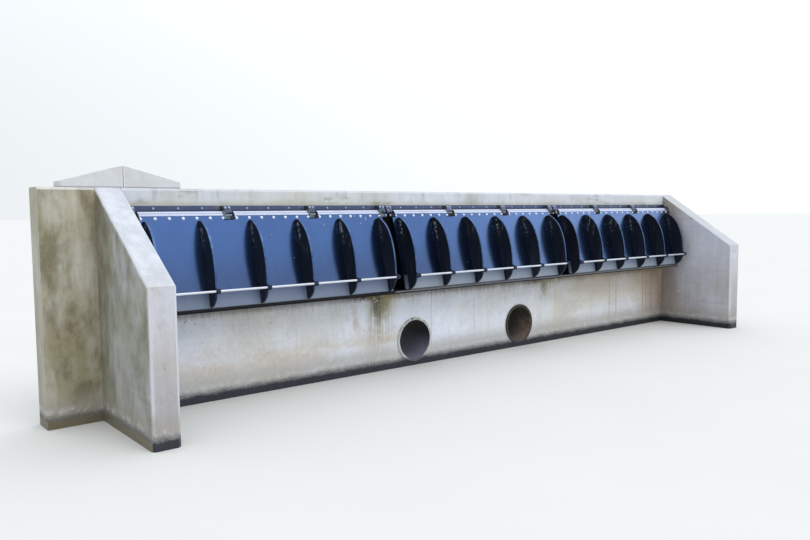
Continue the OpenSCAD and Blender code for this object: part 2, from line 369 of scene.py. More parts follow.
    # the corner by the right wing is browner and darker
    corner = g.mul(g.step(g.x, 3.75, 4.95), g.step(soft, 0.1, 0.6))
    col = g.mix(g.mul(corner, 0.50), col, lin(156, 134, 108))
    col = g.mix(g.mul(g.step(g.x, 4.72, 4.99), 0.45), col, lin(118, 96, 74))
    # fine grime gives the whole wall a mottled look
    mot = g.noise(g.vec(1, 1, 1, 5, 0, 0), 16.0, 6, 0.70)
    col = g.mix(g.mul(g.step(mot, 0.54, 0.74), 0.28), col, lin(154, 150, 142))
    col = g.mix(g.mul(g.step(mot, 0.50, 0.32), 0.42), col, lin(232, 235, 242))
    warm = g.mul(g.step(g.x, 0.6, 3.4), g.step(g.z, 0.35, 0.85), g.lerp(g.noise(g.vec(1.2, 1.2, 0.8, 15, 0, 0), 1.0, 4), 0.25, 0.75))
    col = g.mix(warm, col, lin(194, 176, 150))
    fleck = g.mul(g.step(g.cells(g.vec(1, 1, 1, 2.3, 0, 0), 20.0), 0.22, 0.08), g.step(g.noise(g.vec(1, 1, 1, 8, 0, 0), 5.0, 3), 0.42, 0.60))
    col = g.mix(g.mul(fleck, 0.42), col, lin(132, 126, 112))
    ochre = g.lerp(g.noise(g.vec(2, 2, 0.8, 12, 0, 0), 1.0, 4), 0.20, 0.62)
    col = g.mix(g.mul(g.step(g.x, 4.00, 4.85), ochre), col, lin(146, 116, 82))
    # grazed patches and a few dark chips
    chip = g.cells(g.vec(1, 1, 1, 0.3, 0, 0.2), 3.3)
    col = g.mix(g.mul(g.step(chip, 0.055, 0.025), 0.7), col, lin(92, 84, 66))
    return col, rough


def beam_marks(g, col, rough):
    dirt = g.noise(g.vec(5, 5, 1.6), 1.0, 5, 0.65)
    low = g.step(g.add(g.z, g.mul(g.f("SUBTRACT", dirt, 0.5), 0.12)), 2.27, 2.19)
    col = g.mix(g.mul(low, 0.45), col, lin(160, 158, 128))
    blot = g.mul(g.step(g.noise(g.vec(1.5, 1.5, 6), 1.0, 5, 0.6), 0.53, 0.66), g.step(dirt, 0.4, 0.6))
    col = g.mix(g.mul(blot, 0.62), col, lin(138, 136, 110))
    for cx, w, k in ((-1.75, 0.40, 0.28), (0.0, 0.36, 0.50), (2.6, 0.5, 0.18)):
        col = g.mix(g.mul(g.near(g.x, cx, w), g.step(dirt, 0.30, 0.62), k), col, lin(150, 148, 138))
    # purplish drip marks here and there
    drip = g.mul(
        g.step(g.noise(g.vec(8, 8, 0.6, 2, 0, 0), 1.0, 4), 0.58, 0.70),
        g.step(g.z, 2.18, 2.36),
    )
    col = g.mix(g.mul(drip, 0.40), col, lin(128, 126, 134))
    # clean, pale chamfer and top
    col = g.mix(g.mul(g.step(g.nz, 0.3, 0.6), 0.55), col, lin(184, 187, 196))
    return col, rough


def wing_marks(g, col, rough):
    # top is weathered pale, and the chamfers carry a painted highlight
    slope = g.noise(g.vec(1, 1, 1, 2, 0, 0), 5.5, 5, 0.65)
    top = g.mix(g.step(slope, 0.36, 0.64), lin(198, 202, 210), lin(176, 180, 188))
    top = g.dim(top, g.lerp(g.step(g.x, -5.0, 5.0), 1.03, 0.90))
    top = g.mix(g.mul(g.step(g.x, 0.0, 4.0), 0.7), top, lin(173, 175, 173))
    col = g.mix(g.mul(g.step(g.nz, 0.3, 0.6), 0.72), col, top)
    # painted highlight: the chamfers, picked by their normals, are painted paler
    edge = g.mul(g.step(g.f("ABSOLUTE", g.nx), 0.35, 0.6), g.step(g.f("ABSOLUTE", g.nx), 0.95, 0.75))
    col = g.mix(g.mul(edge, 0.5), col, lin(214, 218, 228))
    # inner and outer sides: painted shade in the corner by the wall, browned with dirt, and dirt patches higher up
    dirt = g.noise(g.vec(3, 3, 1.4, 5, 0, 0), 1.0, 5, 0.62)
    side = g.step(g.f("ABSOLUTE", g.nx), 0.9, 0.97)
    near = g.mul(side, g.step(g.add(g.y, g.mul(g.f("SUBTRACT", dirt, 0.5), 0.7)), -0.62, 0.05))
    col = g.mix(g.mul(near, 0.74), col, lin(136, 117, 100))
    up = g.mul(side, g.step(dirt, 0.5, 0.72), g.step(g.z, 0.9, 1.8))
    col = g.mix(g.mul(up, 0.35), col, lin(150, 140, 112))
    # brown-red stains low down on the inner sides
    rust = g.mul(side, g.step(g.noise(g.vec(2.2, 2.2, 1.2, 8, 0, 0), 1.0, 5, 0.65), 0.32, 0.76), g.step(g.z, 1.50, 0.45), g.step(g.y, -1.95, -0.9))
    col = g.mix(g.mul(rust, 0.62), col, lin(142, 126, 118))
    # rows of the formwork boards show faintly
    row = g.noise(g.vec(0.25, 0.25, 13, 9, 0, 0), 1.0, 3, 0.6)
    col = g.mix(g.mul(side, g.step(row, 0.52, 0.66), 0.22), col, lin(150, 140, 132))
    # noses are greyer towards the foot
    nose = g.mul(g.step(g.ny, -0.6, -0.9), g.step(g.z, 1.35, 0.20))
    col = g.mix(g.mul(nose, 0.48), col, lin(128, 120, 112))
    spot = g.noise(g.vec(1, 1, 0.8, 4, 0, 0), 13.0, 6, 0.7)
    spot = g.mul(g.step(g.ny, -0.6, -0.9), g.step(spot, 0.50, 0.70), 0.40)
    col = g.mix(spot, col, lin(156, 148, 136))
    # algae and moss on the sides away from the water; on the left wing's outer side this is also painted shade from
    # the plants there
    moss = g.noise(g.vec(1, 1, 0.8, 7, 0, 0), 3.4, 6, 0.68)
    out = g.mul(g.step(g.x, -5.255, -5.268), g.add(0.55, g.mul(g.step(dirt, 0.36, 0.60), 0.45)))
    col = g.mix(g.mul(out, 0.80), col, g.mix(g.step(moss, 0.40, 0.60), lin(136, 138, 116), lin(104, 104, 78)))
    out = g.mul(g.step(g.x, 5.255, 5.268), g.step(dirt, 0.38, 0.62))
    col = g.mix(g.mul(out, 0.65), col, lin(148, 146, 118))
    return col, rough


def end_marks(g, col, rough):
    dirt = g.noise(g.vec(3, 3, 1.0, 5, 0, 0), 1.0, 5, 0.62)
    moss = g.noise(g.vec(1, 1, 0.8, 7, 0, 0), 4.2, 6, 0.68)
    col = g.mix(g.mul(g.step(dirt, 0.34, 0.60), g.step(g.ny, 0.2, -0.3), 0.85), col, g.mix(g.step(moss, 0.42, 0.6), lin(140, 134, 104), lin(108, 100, 70)))
    col = g.mix(g.mul(g.step(g.nz, 0.3, 0.6), 0.5), col, lin(216, 218, 222))
    return col, rough


def coping_marks(g, col, rough):
    spot = g.cells(g.vec(1, 1, 1), 34.0)
    col = g.mix(g.mul(g.step(spot, 0.16, 0.06), 0.35), col, lin(120, 118, 112))
    low = g.step(g.z, 2.395, 2.372)
    col = g.mix(g.mul(low, 0.75), col, lin(96, 84, 92))
    # a pale vertical line under the apex, at x = -4.97
    pale_line = g.mul(g.near(g.x, -4.97, 0.016), 0.8)
    col = g.mix(pale_line, col, lin(246, 246, 250))
    return col, rough


M_WALL = concrete("concrete_low_wall", BASE, WARM, extra=wall_marks, seed=0.0, streak=0.30, speck=1.5)
M_BEAM = concrete("concrete_beam", lin(200, 204, 212), lin(194, 194, 188), wet=False, extra=beam_marks, green=0.35, seed=3.0, streak=0.5)
M_WING = concrete("concrete_wing", lin(192, 195, 206), lin(188, 185, 186), extra=wing_marks, seed=6.0, streak=0.7)
M_END = concrete("concrete_end", lin(186, 184, 176), lin(174, 166, 148), extra=end_marks, green=0.5, seed=11.0)
M_PIER = concrete("concrete_pier", lin(178, 178, 174), lin(168, 160, 148), wet=False, seed=15.0)
M_COPE = concrete("concrete_coping", lin(200, 202, 206), lin(192, 191, 188), wet=False, extra=coping_marks, streak=0.15, seed=20.0, speck=1.6)


def pipe_material(name, cx, low, high, rim_a, rim_b, deep):
    """Inside of an outlet; low and high are the tones of its lower and upper half, and painted shade turns it near
    black towards deep.
    """
    g = Mat(name)
    n1 = g.noise(g.vec(1, 1, 1), 16.0, 5, 0.6)
    n2 = g.noise(g.vec(1, 1, 1), 90.0, 3, 0.6)
    ring = g.noise(g.vec(2, 30, 2), 1.0, 3)
    col = g.mix(g.step(g.nz, -0.35, 0.65), high, low)
    col = g.dim(col, g.add(0.72, g.mul(n1, 0.30), g.mul(n2, 0.20), g.mul(ring, 0.12)))
    # brown deposits on one side, painted shade near black on the other
    brown = g.mul(g.step(g.nx, -0.2, -0.7), g.step(n1, 0.42, 0.56), g.step(g.x, -0.2, 0.2), g.step(g.z, 0.52, 0.34))
    col = g.mix(g.mul(brown, 0.80), col, lin(142, 116, 106))
    col = g.mix(g.mul(g.step(g.nx, 0.0, 0.7), 0.75), col, lin(30, 29, 28))
    # painted shade: near black deeper inside the outlet
    col = g.mix(g.mul(g.step(g.y, 0.03, deep), 0.88), col, lin(14, 14, 15))
    # the rim takes rim_a and rim_b: the wall's colour at the left outlet, painted shade at the right one; chipped
    # brown and white at the crown
    r = g.f("SQRT", g.add(g.mul(g.add(g.x, -cx), g.add(g.x, -cx)), g.mul(g.add(g.z, -0.357), g.add(g.z, -0.357))))
    rim = g.step(r, 0.266, 0.272)
    spots = g.noise(g.vec(1, 1, 1), 30.0, 4)
    face = g.mix(g.step(n1, 0.35, 0.65), rim_a, rim_b)
    face = g.mix(g.mul(g.step(g.z, 0.42, 0.60), g.step(g.y, 0.03, 0.01), g.step(spots, 0.46, 0.56), 0.7), face, lin(96, 84, 72))
    face = g.mix(g.mul(g.step(g.z, 0.42, 0.60), g.step(g.y, 0.03, 0.01), g.step(spots, 0.46, 0.38), g.step(g.x, 0.2, -0.2), 0.5), face, lin(216, 216, 218))
    face = g.mix(g.mul(g.step(g.z, 0.165, 0.088), 0.88), face, lin(62, 63, 68))
    col = g.mix(rim, col, face)
    lip = g.mul(g.near(r, 0.265, 0.006), g.step(g.z, 0.30, 0.50), g.step(spots, 0.40, 0.52))
    col = g.mix(g.mul(lip, 0.7), col, lin(40, 38, 34))
    nrm = g.bump(g.add(g.mul(n1, 0.5), g.mul(n2, 0.4)), 0.4, 0.004)
    return g.done(col, g.lerp(n1, 0.6, 0.9), nrm, Specular_IOR_Level=0.35)


# ------------------------------------------------------------------ flap materials
def plate_material():
    """Glossy dark blue-black sheet: it mirrors the ribs, shows water marks, and is painted brighter towards the right
    as a painted reflection.
    """
    g = Mat("flap_sheet")
    n = g.noise(g.vec(1, 1, 1), 1.3, 4, 0.5)
    film = g.noise(g.vec(9, 9, 0.6), 1.0, 4, 0.62)
    # painted reflection: the sheet is painted brighter towards the right, for the sky that the right flaps catch at a
    # more grazing angle
    right = g.step(g.x, -1.6, 1.5)
    col = g.mix(n, (0.037, 0.098, 0.280), (0.045, 0.117, 0.325))
    col = g.mix(right, col, g.mix(n, (0.081, 0.167, 0.402), (0.096, 0.195, 0.455)))
    col = g.dim(col, g.mul(g.add(0.90, g.mul(film, 0.20)), g.lerp(g.step(g.z, 1.80, 1.30), 1.0, g.lerp(right, 0.66, 0.92))))
    # pale dust film low down and fine specks
    dust = g.mul(g.step(g.z, 1.70, 1.30), g.step(film, 0.30, 0.7), 0.10)
    col = g.mix(dust, col, lin(110, 118, 140))
    speck = g.mul(g.step(g.cells(g.vec(1, 1, 0.55), 15.0), 0.055, 0.03), g.step(g.noise(g.vec(1, 1, 1), 2.2, 2), 0.50, 0.60))
    col = g.mix(g.mul(speck, 0.75), col, lin(205, 212, 222))
    # short white drips below the bolts
    drip = g.mul(
        g.step(g.noise(g.vec(46, 46, 2.2), 1.0, 2, 0.4), 0.69, 0.76),
        g.step(g.noise(g.vec(1.1, 1.1, 0.4), 1.0, 2), 0.48, 0.60),
        g.step(g.z, 1.80, 1.97),
    )
    col = g.mix(g.mul(drip, 0.55), col, lin(206, 216, 232))
    rough = g.add(0.17, g.mul(film, 0.10), g.mul(speck, 0.4))
    wav = g.noise(g.vec(1, 1, 1), 2.1, 2)
    nrm = g.bump(wav, 0.10, 0.02, g.bump(film, 0.06, 0.002))
    return g.done(col, rough, nrm, Metallic=1.0, Coat_Weight=0.85, Coat_Roughness=0.16)


def rib_material():
    g = Mat("rib_sheet")
    n = g.noise(g.vec(1, 1, 1), 3.0, 5, 0.6)
    run = g.noise(g.vec(20, 20, 1.0), 1.0, 4, 0.6)
    col = g.mix(n, lin(13, 16, 23), lin(22, 26, 37))
    # dusty lower half
    col = g.mix(g.mul(g.step(g.z, 1.75, 1.25), g.step(run, 0.40, 0.7), 0.30), col, lin(70, 74, 88))
    # bird and lime streaks, mostly near the top of each rib
    w = g.noise(g.vec(0.6, 60, 4.5), 1.0, 3, 0.5)
    high = g.step(g.z, 1.55, 1.90)
    few = g.step(g.noise(g.vec(1.9, 0, 0.9, 4, 0, 0), 1.0, 2), 0.44, 0.56)
    st = g.mul(g.step(w, 0.63, 0.70), high, few)
    col = g.mix(g.mul(st, 0.45), col, lin(176, 172, 160))
    # chalky drips close to the sheet, under the rib's top
    off = g.f("SUBTRACT", g.add(-0.127, g.mul(g.f("SUBTRACT", 2.085, g.z), -0.2755)), g.y)
    lump = g.noise(g.vec(3.1, 30, 26), 1.0, 3, 0.6)
    pick = g.step(g.noise(g.vec(2.3, 0, 0, 1, 0, 0), 1.0, 1), 0.40, 0.52)
    root = g.mul(g.near(off, 0.045, 0.040), g.step(g.z, 1.70, 1.80), g.step(g.z, 2.01, 1.97), g.step(lump, 0.50, 0.60), pick)
    col = g.mix(g.mul(root, g.lerp(g.step(g.x, 1.6, 1.8), 0.80, 0.45)), col, lin(170, 172, 176))
    dots = g.mul(g.step(g.cells(g.vec(0.2, 1, 1), 19.0), 0.07, 0.035), g.step(g.noise(g.vec(1, 2, 2), 1.0, 2), 0.47, 0.57))
    col = g.mix(g.mul(dots, 0.7), col, lin(160, 168, 184))
    # the cut edges shine like the sheet, scuffed
    edge = g.step(g.f("ABSOLUTE", g.nx), 0.75, 0.35)
    scuff = g.noise(g.vec(3, 14, 14), 1.0, 4, 0.6)
    col = g.mix(edge, col, g.mix(g.step(scuff, 0.35, 0.65), (0.040, 0.090, 0.220), (0.085, 0.140, 0.270)))
    col = g.dim(col, g.lerp(g.mul(edge, g.step(g.z, 1.30, 1.22)), 1.0, 0.25))
    # the eyes for the rod are dull and dark
    eye = g.mul(g.near(g.y, -0.556, 0.045), g.near(g.z, 1.297, 0.045))
    eye = g.step(eye, 0.15, 0.30)
    col = g.mix(g.mul(eye, edge), col, lin(24, 34, 60))
    edge = g.mul(edge, g.inv(eye))
    rough = g.lerp(edge, g.add(0.34, g.mul(run, 0.22)), 0.38)
    nrm = g.bump(g.add(g.mul(run, 0.4), g.mul(n, 0.4)), 0.12, 0.003)
    m = g.done(col, rough, nrm, Specular_IOR_Level=0.18)
    g.put(g.b.inputs["Metallic"], g.mul(edge, 0.9))
    return m


def lip_material():
    g = Mat("lip_sheet")
    n = g.noise(g.vec(1, 1, 1), 5.0, 5, 0.6)
    run = g.noise(g.vec(24, 24, 1.6), 1.0, 4, 0.62)
    # painted reflection: the lip is painted paler towards its lower edge
    t = g.step(g.z, 1.30, 1.12)
    col = g.mix(t, lin(77, 92, 124), lin(119, 132, 154))
    col = g.mix(g.step(g.x, -1.9, -1.4), col, g.mix(t, lin(80, 94, 118), lin(130, 139, 153)))
    col = g.dim(col, g.mul(g.add(0.78, g.mul(n, 0.25), g.mul(run, 0.20)), g.lerp(g.step(g.x, -2.2, -1.2), 0.86, 1.04)))
    for b in (0.0, 3.34):
        col = g.dim(col, g.lerp(g.mul(g.step(g.x, b - 1.60, b - 1.59), g.step(g.x, b - 1.49, b - 1.50)), 1.0, 0.50))
    # painted shade of the gap under the lip, on its lowest few millimetres, for the mid and right flaps
    lip_gap_shade = g.mul(g.step(g.z, 1.1165, 1.1125), g.step(g.x, -1.76, -1.70))
    col = g.mix(g.mul(lip_gap_shade, 0.75), col, lin(50, 54, 62))
    mark = g.mul(g.step(g.cells(g.vec(1, 1, 1), 12.0), 0.06, 0.03), 0.5)
    col = g.mix(mark, col, lin(200, 204, 210))
    rough = g.lerp(run, 0.45, 0.60)
    nrm = g.bump(g.add(g.mul(n, 0.5), g.mul(run, 0.4)), 0.10, 0.003)
    return g.done(col, rough, nrm, Metallic=0.15, Specular_IOR_Level=0.5)


def apron_material():
    g = Mat("apron_strip")
    n = g.noise(g.vec(1, 1, 1), 6.0, 5, 0.6)
    run = g.noise(g.vec(30, 8, 8), 1.0, 4, 0.6)
    col = g.mix(n, lin(176, 184, 208), lin(192, 199, 220))
    col = g.mix(g.mul(g.step(run, 0.5, 0.75), 0.35), col, lin(150, 156, 172))
    # a shallow groove runs along the middle; its darker colour is painted shade
    mid = g.near(g.z, 2.1055, 0.008)
    col = g.mix(g.mul(mid, 0.75), col, lin(98, 108, 140))
    dirt = g.mul(g.step(g.noise(g.vec(3, 3, 3), 1.0, 4), 0.55, 0.70), 0.35)
    col = g.mix(dirt, col, lin(142, 138, 128))
    nrm = g.bump(g.add(g.mul(run, 0.4), g.mul(mid, -0.5)), 0.25, 0.003)
    return g.done(col, g.lerp(n, 0.28, 0.45), nrm, Specular_IOR_Level=0.5)


def dark_sheet(name, a, b, dust, rough=(0.4, 0.6), dustk=0.3, spec=0.4):
    g = Mat(name)
    n = g.noise(g.vec(1, 1, 1), 4.0, 5, 0.6)
    run = g.noise(g.vec(22, 22, 1.6), 1.0, 4, 0.62)
    fine = g.noise(g.vec(1, 1, 1), 70.0, 2)
    col = g.mix(n, a, b)
    col = g.dim(col, g.add(0.85, g.mul(fine, 0.3)))
    col = g.mix(g.mul(g.step(run, 0.48, 0.72), dustk), col, dust)
    nrm = g.bump(g.add(g.mul(fine, 0.4), g.mul(run, 0.3)), 0.15, 0.002)
    return g, col, g.lerp(run, *rough), nrm, spec


def simple_dark(*a, **k):
    g, col, rough, nrm, spec = dark_sheet(*a, **k)
    return g.done(col, rough, nrm, Specular_IOR_Level=spec)


def frame_material():
    g, col, rough, nrm, spec = dark_sheet("frame_strip", lin(40, 58, 98), lin(60, 78, 118), lin(108, 112, 118), dustk=0.3, rough=(0.22, 0.4), spec=0.6)
    # grey patches left of every bracket
    for b in (-3.34, 0.0, 3.34):
        for h in (-0.62, 0.47):
            col = g.mix(g.mul(g.near(g.x, b + h, 0.075), g.step(g.noise(g.vec(9, 9, 9), 1.0, 3), 0.3, 0.6), 0.75), col, lin(112, 116, 114))
    col = g.mix(g.mul(g.step(g.z, 2.150, 2.140), 0.6), col, lin(34, 40, 62))
    return g.done(col, rough, nrm, Specular_IOR_Level=spec)


def steel(name, a, b, rust=0.0, rough=(0.22, 0.4), metal=0.9):
    g = Mat(name)
    n = g.noise(g.vec(2, 60, 60), 1.0, 3, 0.6)
    m = g.noise(g.vec(1, 1, 1), 18.0, 4, 0.6)
    col = g.mix(n, a, b)
    if rust:
        col = g.mix(g.mul(g.step(m, 0.55, 0.72), rust), col, lin(126, 96, 74))
    nrm = g.bump(g.add(g.mul(n, 0.4), g.mul(m, 0.3)), 0.12, 0.001)
    return g.done(col, g.lerp(m, *rough), nrm, Metallic=metal)


def bracket_material():
    """Dull grey-green galvanised arm, spotted with dirt."""
    g = Mat("bracket_zinc")
    n = g.noise(g.vec(1, 1, 1), 24.0, 5, 0.65)
    spot = g.cells(g.vec(1, 1, 1), 60.0)
    fine = g.noise(g.vec(1, 1, 1), 160.0, 2)
    left_side = g.mix(g.step(n, 0.38, 0.62), lin(46, 60, 82), lin(84, 96, 116))
    right_side = g.mix(g.step(n, 0.38, 0.62), lin(62, 66, 96), lin(110, 112, 142))
    col = g.mix(g.step(g.x, -1.72, -1.68), left_side, right_side)
    col = g.mix(g.mul(g.step(spot, 0.24, 0.10), 0.4), col, lin(140, 146, 150))
    col = g.mix(g.mul(g.step(g.x, 4.50, 4.62), 0.80), col, lin(26, 28, 40))
    # painted shade on the faces turned to -X, in an olive tone
    left = g.step(g.nx, -0.5, -0.9)
    col = g.mix(g.mul(left, 0.75), col, lin(46, 52, 52))
    nrm = g.bump(g.add(g.mul(fine, 0.4), g.mul(n, 0.4)), 0.3, 0.002)
    return g.done(col, g.lerp(n, 0.45, 0.7), nrm, Metallic=0.15, Specular_IOR_Level=0.4)


def lug_material(name, bay, pale_foot):
    """Lugs and feet: black, but the left lug is grey, and so is most of a foot when pale_foot is set."""
    g = Mat(name)
    n = g.noise(g.vec(1, 1, 1), 14.0, 5, 0.6)
    fine = g.noise(g.vec(1, 1, 1), 90.0, 2)
    col = g.mix(n, lin(12, 15, 24), lin(22, 26, 36))
    # distance from the middle of the hinge
    xr = g.f("SUBTRACT", g.f("MODULO", g.add(g.x, 1.094 * 11 - bay), 1.094), 0.547)
    ear = g.step(xr, -0.043, -0.047)
    if pale_foot:
        pale = g.step(xr, 0.012, -0.002)
        col = g.mix(g.mul(pale, 0.92), col, g.mix(n, lin(54, 72, 104), lin(86, 100, 124)))
        col = g.mix(g.mul(ear, 0.7), col, lin(104, 116, 112))
    else:
        ear = g.mul(ear, g.step(g.z, 2.070, 2.082))
        col = g.mix(g.mul(ear, 0.85), col, g.mix(n, lin(74, 78, 100), lin(120, 122, 138)))
    nrm = g.bump(g.add(g.mul(fine, 0.4), g.mul(n, 0.3)), 0.2, 0.002)
    return g.done(col, g.lerp(n, 0.5, 0.7), nrm, Specular_IOR_Level=0.25)


M_PLATE, M_RIB, M_LIP, M_APRON = plate_material(), rib_material(), lip_material(), apron_material()
M_FRAME = frame_material()
M_DARK = simple_dark("seat_sheet", lin(14, 15, 18), lin(24, 26, 31), lin(52, 52, 54), dustk=0.25, rough=(0.5, 0.8), spec=0.2)
M_BRACKET = bracket_material()
M_LUG = {"left": lug_material("lug_paint_left", -3.34, True), "mid": lug_material("lug_paint_mid", 0.0, False), "right": lug_material("lug_paint_right", 3.34, False)}
M_BEAD = simple_dark("weld_bead", lin(22, 27, 40), lin(32, 37, 52), lin(44, 48, 60), dustk=0.2, rough=(0.7, 0.9), spec=0.05)
M_SEAL = simple_dark("seal_rubber", lin(22, 22, 24), lin(32, 32, 34), lin(60, 58, 54), dustk=0.3, rough=(0.6, 0.85), spec=0.25)
M_ROD = steel("rod_steel", lin(196, 201, 212), lin(220, 224, 232), metal=0.55, rough=(0.25, 0.38))
M_PIN = steel("pin_steel", lin(150, 154, 162), lin(190, 194, 202), rust=0.5)
M_BOLT = steel("bolt_steel", lin(214, 224, 246), lin(240, 246, 255), metal=0.25, rough=(0.3, 0.45))
M_NUT = steel("nut_steel", lin(34, 46, 72), lin(58, 72, 100), metal=0.3, rough=(0.35, 0.55))
M_SMALL = steel("small_bolt_steel", lin(150, 162, 190), lin(186, 196, 220), metal=0.4, rough=(0.3, 0.5))


def sill_material():
    g, col, rough, nrm, spec = dark_sheet("sill_sheet", lin(98, 100, 110), lin(120, 121, 127), lin(124, 118, 106), dustk=0.4)
    left = g.step(g.x, -1.70, -1.76)
    col = g.mix(g.mul(left, 0.95), col, lin(16, 17, 22))
    left = g.mul(g.near(g.z, 1.0835, 0.005), left)
    col = g.mix(g.mul(left, 0.5), col, lin(60, 60, 66))
    # painted shade above and below the pale band, on top and at the ends: the dark gap under the lip and the shadow
    # line under the sill
    col = g.mix(g.mul(g.step(g.z, 1.0780, 1.0735), 0.93), col, lin(28, 28, 30))
    col = g.mix(g.mul(g.step(g.z, 1.0915, 1.0945), 0.85), col, lin(36, 36, 40))
    painted_shade_faces = g.step(g.ny, -0.5, -0.3)
    col = g.mix(painted_shade_faces, col, lin(24, 25, 28))
    return g.done(col, rough, nrm, Specular_IOR_Level=0.06)


ASSIGN = {
    "lower_wall": M_WALL, "top_beam": M_BEAM,
    "left_pier": M_PIER, "right_pier": M_PIER, "left_end_pier": M_PIER, "right_end_pier": M_PIER,
    "left_wing_wall": M_WING, "right_wing_wall": M_WING, "left_wall_end": M_END,
    "left_coping": M_COPE, "left_pipe": pipe_material("pipe_wall_left", -1.11, lin(112, 116, 134), lin(36, 36, 38), lin(196, 197, 200), lin(176, 174, 170), 0.60), "top_frame": M_FRAME,
    "seat_cheeks": M_DARK, "sill_plates": sill_material(), "pier_covers": M_DARK,
    "hinge_brackets": M_BRACKET, "hinge_pins": M_PIN,
}
# the right outlet's rim is painted dark: painted shade of the opening carried over the rim
ASSIGN["right_pipe"] = pipe_material("pipe_wall_right", 1.01, lin(110, 98, 88), lin(74, 76, 66), lin(66, 58, 52), lin(46, 42, 38), 0.42)
for side in ("left", "mid", "right"):
    for part, mat in (("plate", M_PLATE), ("lip", M_LIP), ("ribs", M_RIB), ("rod", M_ROD), ("apron", M_APRON), ("hinges", M_LUG[side]), ("seal", M_SEAL)):
        ASSIGN[f"{side}_flap_{part}"] = mat
for name, mat in ASSIGN.items():
    o = NODES[name]
    o.data.materials.clear()
    o.data.materials.append(mat)


# ------------------------------------------------------------------ pieces
def piece(name, bm, mat, body, bevel=0.0, smooth=False):
    me = bpy.data.meshes.new(name)
    bmesh.ops.recalc_face_normals(bm, faces=bm.faces)
    bm.to_mesh(me)
    bm.free()
    if smooth:
        for p in me.polygons:
            p.use_smooth = True
    o = bpy.data.objects.new(name, me)
    SC.collection.objects.link(o)
    me.materials.append(mat)
    if bevel:
        b = o.modifiers.new("bevel", "BEVEL")
        b.width = bevel
        b.segments = 2
        b.limit_method = "ANGLE"
        b.angle_limit = math.radians(40)
    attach(o, body)
    return o


def lathe(bm, profile, origin, axis, seg=16, hexa=False):
    """Turns a profile of (distance along axis, radius) around an axis; closed at both ends."""
    axis = Vector(axis).normalized()
    a = axis.orthogonal().normalized()
    b = axis.cross(a)
    rings = []
    n = 6 if hexa else seg
    for h, r in profile:
        c = Vector(origin) + axis * h
        if r <= 1e-6:
            rings.append([bm.verts.new(c)])
        else:
            rings.append(
                [
                    bm.verts.new(c + (a * math.cos(2 * math.pi * i / n) + b * math.sin(2 * math.pi * i / n)) * r)
                    for i in range(n)
                ]
            )
    for p, q in zip(rings, rings[1:]):
        if len(p) == 1 and len(q) == 1:
            continue
        for i in range(n):
            j = (i + 1) % n
            if len(p) == 1:
                bm.faces.new((p[0], q[j], q[i]))
            elif len(q) == 1:
                bm.faces.new((p[i], p[j], q[0]))
            else:
                bm.faces.new((p[i], p[j], q[j], q[i]))
    if len(rings[0]) > 1:
        bm.faces.new(list(reversed(rings[0])))
    if len(rings[-1]) > 1:
        bm.faces.new(rings[-1])


def bolt(bm, at, axis, r, washer=None, dome=0.5):
    """A washer, a hexagon nut and a domed end, standing on a face."""
    w = washer or r * 1.45
    lathe(bm, [(-0.001, w * 0.98), (0.0015, w), (0.0035, w), (0.004, w * 0.93)], at, axis, 18)
    lathe(bm, [(0.0035, r * 0.95), (0.0045, r), (0.0035 + r * 0.75, r), (0.0035 + r * 0.85, r * 0.86)], at, axis, hexa=True)
    lathe(
        bm,
        [(0.003, r * 0.70), (r * 1.05, r * 0.70), (r * 1.05 + r * dome * 0.35, r * 0.55), (r * 1.05 + r * dome * 0.6, r * 0.25), (r * 1.05 + r * dome * 0.65, 0)],
        at,
        axis,
        12,
    )


BAY = {"left": -3.34, "mid": 0.0, "right": 3.34}
AY, AZ, BY, BZ = -0.127, 2.085, -0.346, 1.290
LN = math.hypot(AY - BY, AZ - BZ)
DN = Vector((0, (BY - AY) / LN, (BZ - AZ) / LN))
OUT = Vector((0, DN.z, -DN.y))


def on(x, u, v=0.0):
    """Point on a closed flap plate: u down from its top edge, v out of it."""
    return Vector((x, AY, AZ)) + DN * u + OUT * v


